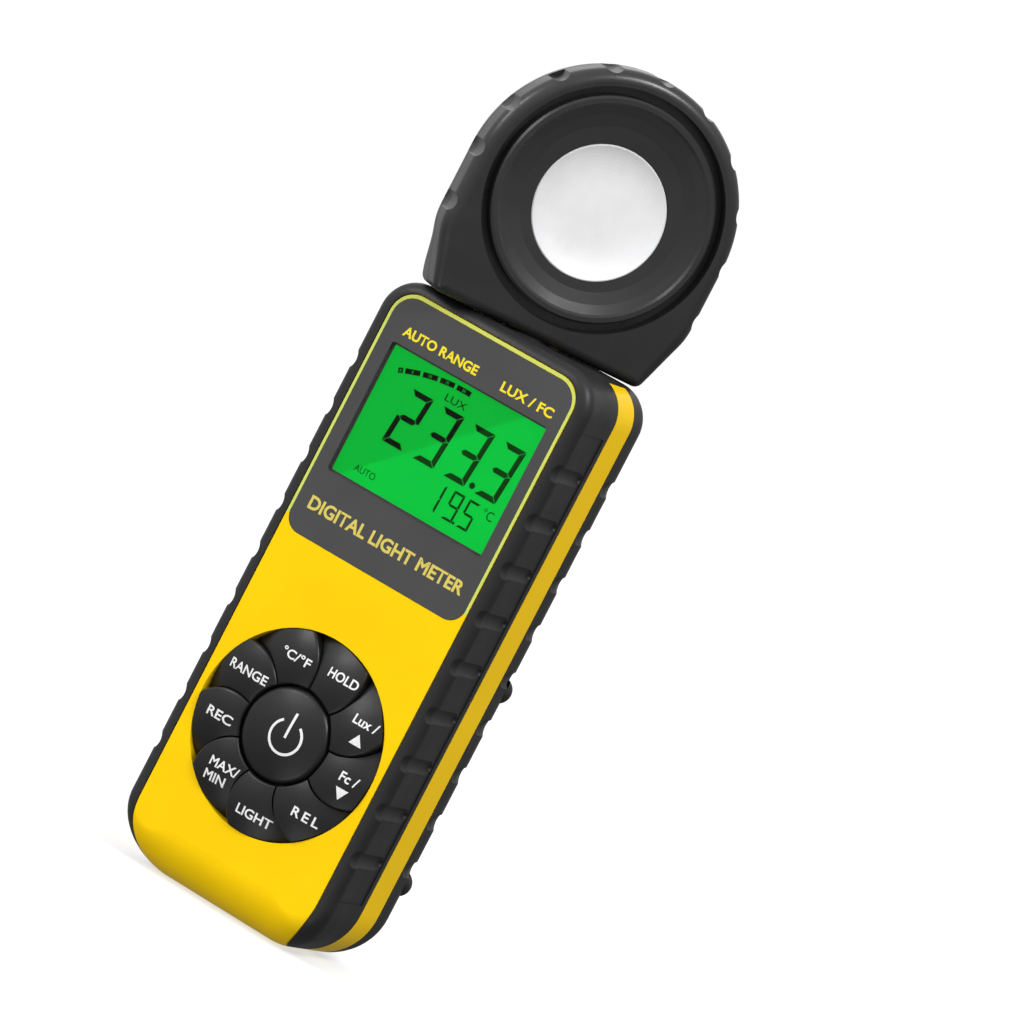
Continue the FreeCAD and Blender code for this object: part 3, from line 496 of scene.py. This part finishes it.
def band_mesh(points, width):
    """A closed flat band along a line of (x, z) points."""
    bm = bmesh.new()
    rows = []
    last = len(points) - 1
    for i, (x, z) in enumerate(points):
        before = Vector(points[max(i - 1, 0)])
        after = Vector(points[min(i + 1, last)])
        along = (after - before).normalized()
        across = Vector((-along.y, along.x)) * (width / 2)
        row = []
        for side in (1, -1):
            for y in (0, INK):
                row.append(bm.verts.new((x + across.x * side, y, z + across.y * side)))
        rows.append(row)
    for a, b in zip(rows, rows[1:]):
        bm.faces.new((a[0], b[0], b[2], a[2]))
        bm.faces.new((a[1], a[3], b[3], b[1]))
        bm.faces.new((a[0], a[1], b[1], b[0]))
        bm.faces.new((a[2], b[2], b[3], a[3]))
    bm.faces.new((rows[0][0], rows[0][2], rows[0][3], rows[0][1]))
    bm.faces.new((rows[-1][0], rows[-1][1], rows[-1][3], rows[-1][2]))
    bmesh.ops.recalc_face_normals(bm, faces=bm.faces)
    mesh = bpy.data.meshes.new("band")
    bm.to_mesh(mesh)
    bm.free()
    return mesh


def print_on_key(name, mesh, x, z, y_at, white, node):
    """Prints on a key; x and z are from the dial's centre."""
    print_on(name, mesh, x + LEGEND_SHIFT, DIAL_Z + z, y_at, white, node, KEY_INK)


def print_key_legends(white):
    """Words and arrows on the petals."""
    words = [    # key, words, x and z from the dial's centre, width, spacing
        ("celsius", "°C/°F", -6.4, 14.95, 7.2, 1.0),
        ("hold", "HOLD", 5.1, 15.9, 7.3, 1.0),
        ("up", "Lux /", 14.0, 10.4, 5.7, 1.0),
        ("down", "Fc /", 16.4, -1.0, 4.1, 1.0),
        ("relative", "REL", 11.6, -12.1, 6.2, 1.35),
        ("light", "LIGHT", 1.2, -17.4, 8.3, 1.0),
        ("max_min", "MAX/", -9.6, -11.8, 6.9, 1.0),
        ("max_min", "MIN", -10.6, -14.8, 5.1, 1.0),
        ("record", "REC", -15.8, -3.3, 6.3, 1.0),
        ("range", "RANGE", -14.6, 7.4, 9.6, 1.0),
    ]
    finders = {}
    for key, text, x, z, width, spacing in words:
        node = "key_" + key
        if node not in finders:
            finders[node] = surface_finder(node)
        name = "legend_" + key + ("_2" if text == "MIN" else "")
        mesh = text_mesh(text, LEGEND_CAP, width, LEGEND_BOLD, spacing)
        print_on_key(name, mesh, x, z, finders[node], white, node)
    arrows = [("up", 14.05, 6.75, True), ("down", 16.1, -4.5, False)]
    for key, x, z, up in arrows:
        node = "key_" + key
        print_on_key("arrow_" + key, triangle_mesh(*ARROW, up), x, z, finders[node], white, node)


def print_power_mark(white):
    """Open ring with a bar in the opening."""
    y_at = surface_finder("key_power")
    gap = math.radians(POWER_GAP_DEG)
    steps = 48
    sweep = 2 * math.pi - 2 * gap
    ring = []
    for i in range(steps + 1):
        a = math.pi / 2 + gap + sweep * i / steps
        ring.append((POWER_RING_R * math.cos(a), POWER_RING_R * math.sin(a)))
    bar = [(0, POWER_BAR_TOP - POWER_BAR_STEP * i) for i in range(11)]
    for name, line, z in (("power_ring", ring, POWER_RING_Z), ("power_bar", bar, POWER_BAR_Z)):
        print_on_key(name, band_mesh(line, POWER_STROKE), 0, z, y_at, white, "key_power")


# ---------------------------------------------------------------- label and display
def rounded_rect(half, z0, z1, bottom_r, top_r, middle=0.0):
    """Points of a rounded rectangle, from the lower right corner round to the lower left."""
    steps = CORNER_STEPS
    points = []
    corners = [
        (half, z0, bottom_r, -90), (half, z1, top_r, 0),
        (-half, z1, top_r, 90), (-half, z0, bottom_r, 180),
    ]
    for x, z, r, start in corners:
        cx = x - math.copysign(r, x)
        cz = z + r if z == z0 else z - r
        for i in range(steps + 1):
            a = math.radians(start + 90 * i / steps)
            points.append((middle + cx + r * math.cos(a), cz + r * math.sin(a)))
    return points


def print_label(title, heading):
    """Generic title and headings on the label."""
    def flat(x, z):
        return LABEL_FRONT_Y

    lines = [    # name, words, capital height, width, x, z, boldness, colour
        ("title", "DIGITAL LIGHT METER", 2.95, 39.4, 0.2, 82.2, 0.11, title),
        ("heading_left", "AUTO RANGE", 2.15, 18.8, -8.8, 121.7, 0.09, heading),
        ("heading_right", "LUX / FC", 2.15, 13.0, 13.3, 121.6, 0.09, heading),
    ]
    for name, words, cap, width, x, z, bold, colour in lines:
        print_on(name, text_mesh(words, cap, width, bold), x, z, flat, colour, "body")


def print_outline(line):
    """The thin line on the case along both sides and the top of the label."""
    low, high = OUTLINE_Z
    outer_r, inner_r = OUTLINE_CORNERS
    outer = rounded_rect(OUTLINE_HALF, low, high, 0, outer_r)
    inner = rounded_rect(OUTLINE_HALF - OUTLINE_SIDE_W, low, high - OUTLINE_TOP_W, 0, inner_r)
    open_bottom = slice(CORNER_STEPS, 3 * (CORNER_STEPS + 1) + 1)    # no line along the lower edge
    bm = bmesh.new()
    strip(bm, outer[open_bottom], inner[open_bottom], FACE_Y - INK * 0.5, 2 * INK, False)
    obj = mesh_object("label_outline", bm)
    dress(obj, line)
    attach(obj, "body")


def print_window_frame(dark):
    """Dark printing round the window: over its seam, on its back and round its sides."""
    low, high = WINDOW_Z
    depth = WINDOW_BACK_Y - LABEL_FRONT_Y
    bands = [    # how far the outer and inner edges stand outside the window, front, thickness
        (0.12, -0.12, LABEL_FRONT_Y - INK * 0.5, INK),
        (-0.02, -0.56, WINDOW_BACK_Y - 0.02, 0.03),
        (0.035, 0.01, LABEL_FRONT_Y + 0.02, depth - 0.04),
    ]
    bm = bmesh.new()
    for over, under, y_front, thickness in bands:
        outer, inner = (
            rounded_rect(WINDOW_HALF + grow, low - grow, high + grow, 0.8 + grow, 0.8 + grow, WINDOW_X)
            for grow in (over, under)
        )
        strip(bm, outer, inner, y_front, thickness, True)
    obj = mesh_object("window_frame", bm)
    dress(obj, dark)
    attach(obj, "body")


# the lit segments of the figures in the reading: a is the top, then clockwise to f, and g is the middle
SEGMENTS = {"1": "bc", "2": "abged", "3": "abgcd", "5": "afgcd", "9": "abcdfg"}


def segment_shapes(width, height, stroke):
    """Mitred outlines of the seven segments, from the figure's lower left corner."""
    gap = stroke * 0.07
    mid = height / 2
    top = [
        (gap, height), (width - gap, height),
        (width - stroke - gap, height - stroke), (stroke + gap, height - stroke),
    ]
    side = [
        (width, height - gap), (width, mid + gap), (width - stroke / 2, mid + gap),
        (width - stroke, mid + stroke / 2 + gap), (width - stroke, height - stroke - gap),
    ]
    middle = [
        (stroke / 2 + gap, mid), (stroke + gap, mid + stroke / 2),
        (width - stroke - gap, mid + stroke / 2), (width - stroke / 2 - gap, mid),
        (width - stroke - gap, mid - stroke / 2), (stroke + gap, mid - stroke / 2),
    ]

    def upside_down(shape):
        return [(x, height - z) for x, z in shape]

    def mirrored(shape):
        return [(width - x, z) for x, z in shape]

    return {
        "a": top, "b": side, "c": upside_down(side), "d": upside_down(top),
        "e": mirrored(upside_down(side)), "f": mirrored(side), "g": middle,
    }


def add_figure(bm, figure, x0, z0, size, slant, y):
    """One seven-segment figure with its lower left corner at (x0, z0)."""
    width, height, stroke = size
    shapes = segment_shapes(width, height, stroke)
    for name in SEGMENTS[figure]:
        outline = [(x0 + x + z * slant, z0 + z) for x, z in shapes[name]]
        plate(bm, outline, y, SEGMENT_T)


def scale_block(middle_deg, length):
    """One block of the curved bar scale."""
    centre_x, centre_z = SCALE_CENTRE
    span = math.degrees(length / SCALE_R)
    angles = [math.radians(middle_deg + span * (0.5 - i / 4)) for i in range(5)]
    far, near = SCALE_R + SCALE_HALF, SCALE_R - SCALE_HALF
    outer = [(far * math.cos(a), far * math.sin(a)) for a in angles]
    inner = [(near * math.cos(a), near * math.sin(a)) for a in reversed(angles)]
    return [(centre_x + x, centre_z + z) for x, z in outer + inner]


def show_reading(dark, green):
    """Big reading 233.3, small reading 19.5, bar scale and the little words."""
    y = LCD_FRONT_Y - 0.04
    bm = bmesh.new()
    first_x, big_z = BIG_PLACE
    for i, figure in enumerate("2333"):
        add_figure(bm, figure, first_x + BIG_PITCH * i, big_z, BIG_FIGURE, BIG_SLANT, y)
    for figure, x in (("1", 3.0), ("9", 7.55), ("5", 11.4)):
        add_figure(bm, figure, x, SMALL_Z, SMALL_FIGURE, SMALL_SLANT, y)
    for x, z, radius in ((10.6, 101.1, 0.68), (10.65, 92.7, 0.3)):    # decimal points
        plate(bm, circle(x, z, radius), y, SEGMENT_T)
    blocks = [    # direction from the arc's centre in degrees, length, number
        (110.3, 1.1, "0"), (106.6, 3.45, "5"), (101.15, 3.45, "10"),
        (95.7, 3.45, "15"), (90.25, 3.45, "20"),
    ]
    for middle_deg, length, _ in blocks:
        plate(bm, scale_block(middle_deg, length), y, SEGMENT_T)
    obj = mesh_object("display_figures", bm)
    dress(obj, dark)
    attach(obj, "body")

    def flat(x, z):
        return LCD_FRONT_Y - 0.005

    def on_blocks(x, z):
        return LCD_FRONT_Y - 0.03

    words = [    # name, words, capital height, width, x, z
        ("display_lux", "LUX", 1.55, 5.2, -1.1, 114.05),
        ("display_auto", "AUTO", 1.45, 5.2, -12.05, 92.7),
        ("display_degree", "°C", 2.1, 2.5, 16.75, 97.55),
    ]
    for name, text, cap, width, x, z in words:
        print_on(name, text_mesh(text, cap, width), x, z, flat, dark, "body")
    for middle_deg, _, number in blocks:
        outline = scale_block(middle_deg, 1.0)
        x = sum(p[0] for p in outline) / len(outline)
        z = sum(p[1] for p in outline) / len(outline)
        mesh = text_mesh(number, 0.6)
        print_on("scale_" + number, mesh, x, z, on_blocks, green, "body")


# ---------------------------------------------------------------- studio
def add_camera():
    """Camera on a sphere about its aim, with the picture rolled."""
    azimuth, elevation = math.radians(CAMERA_AZIMUTH), math.radians(CAMERA_ELEVATION)
    away = Vector((
        math.sin(azimuth) * math.cos(elevation),
        -math.cos(azimuth) * math.cos(elevation),
        math.sin(elevation),
    ))
    data = bpy.data.cameras.new("camera")
    data.lens = CAMERA_LENS
    data.sensor_width = 36
    data.clip_end = 200
    obj = collection_add(bpy.data.objects.new("camera", data))
    turn = away.to_track_quat("Z", "Y").to_matrix().to_4x4()
    roll = Matrix.Rotation(math.radians(CAMERA_ROLL), 4, "Z")
    obj.matrix_world = Matrix.Translation(CAMERA_AIM + away * CAMERA_DISTANCE) @ turn @ roll
    bpy.context.scene.camera = obj


def set_stage(obj, color, glow):
    """Plain pale surround that the camera sees, and that casts nothing on the meter."""
    mat, tree, shader = new_material(obj.name + "_white", color, 0.8, 0.0)
    darker = tuple(c * 0.98 for c in color)
    tint(tree, shader.inputs["Base Color"], remap(tree, noise(tree, 3, 3), 0, 1), darker, color)
    shader.inputs["Emission Color"].default_value = (1, 1, 1, 1)
    shader.inputs["Emission Strength"].default_value = glow
    dress(obj, mat)
    obj.visible_diffuse = False
    obj.visible_glossy = False
    obj.visible_transmission = False
    obj.visible_shadow = False


def add_surround():
    """Floor disc and the sphere behind it."""
    bm = bmesh.new()
    bmesh.ops.create_circle(bm, cap_ends=True, radius=SURROUND_R, segments=96)
    set_stage(mesh_object("floor", bm), (0.45, 0.45, 0.45), 0.6)
    bm = bmesh.new()
    bmesh.ops.create_uvsphere(bm, u_segments=48, v_segments=24, radius=SURROUND_R * 1.02)
    set_stage(mesh_object("backdrop", bm), (0.1, 0.1, 0.1), 1.0)


def add_light(name, place, size, power):
    """Round soft light at a place, turned to the meter."""
    data = bpy.data.lights.new(name, "AREA")
    data.shape = "DISK"
    data.size = size
    data.energy = power
    obj = collection_add(bpy.data.objects.new(name, data))
    toward = (Vector(place) - LIGHT_AIM).to_track_quat("Z", "Y").to_matrix().to_4x4()
    obj.matrix_world = Matrix.Translation(Vector(place)) @ toward
    obj.visible_camera = False


def add_world():
    """Studio light: bright from above and in front, dim from below and behind."""
    world = bpy.data.worlds.new("world")
    bpy.context.scene.world = world
    world.use_nodes = True
    tree = world.node_tree
    coords = tree.nodes.new("ShaderNodeTexCoord")
    toward = []
    for axis in (UPWARD, FORWARD):
        dot = tree.nodes.new("ShaderNodeVectorMath")
        dot.operation = "DOT_PRODUCT"
        dot.inputs[1].default_value = Vector(axis).normalized()
        tree.links.new(coords.outputs["Generated"], dot.inputs[0])
        toward.append(dot.outputs["Value"])
    product = tree.nodes.new("ShaderNodeMath")
    product.operation = "MULTIPLY"
    tree.links.new(remap(tree, toward[0], 0.25, 1.15, -0.45, 0.45), product.inputs[0])
    tree.links.new(remap(tree, toward[1], 0.65, 1.0, -0.9, 0.7), product.inputs[1])
    tree.links.new(product.outputs["Value"], tree.nodes["Background"].inputs["Strength"])
    tree.nodes["Background"].inputs["Color"].default_value = (1, 1, 1, 1)


def add_studio():
    """World and lights; each light has a place and a width in metres and a power in watts."""
    add_world()
    add_light("key", (-0.9, -1.3, 0.9), 0.7, 10)
    add_light("rim", (-0.5, 1.0, 0.7), 1.2, 1.6)
    add_light("fill", (1.1, -0.6, 1.3), 0.5, 14)
    add_light("bounce", (0.1, -1.2, -0.9), 0.9, 3.5)
    bpy.context.scene.view_settings.view_transform = "Standard"


def main():
    add_camera()
    made = make_materials()
    dress_nodes(made)
    white = ink("white_ink", WHITE)
    print_key_legends(white)
    print_power_mark(white)
    print_label(ink("title_ink", TITLE_YELLOW), ink("heading_ink", HEADING_YELLOW))
    print_outline(ink("line_ink", LINE_YELLOW))
    print_window_frame(made["label_print"])
    show_reading(dark_crystal(), made["lcd_cell"])
    add_surround()
    add_studio()


main()
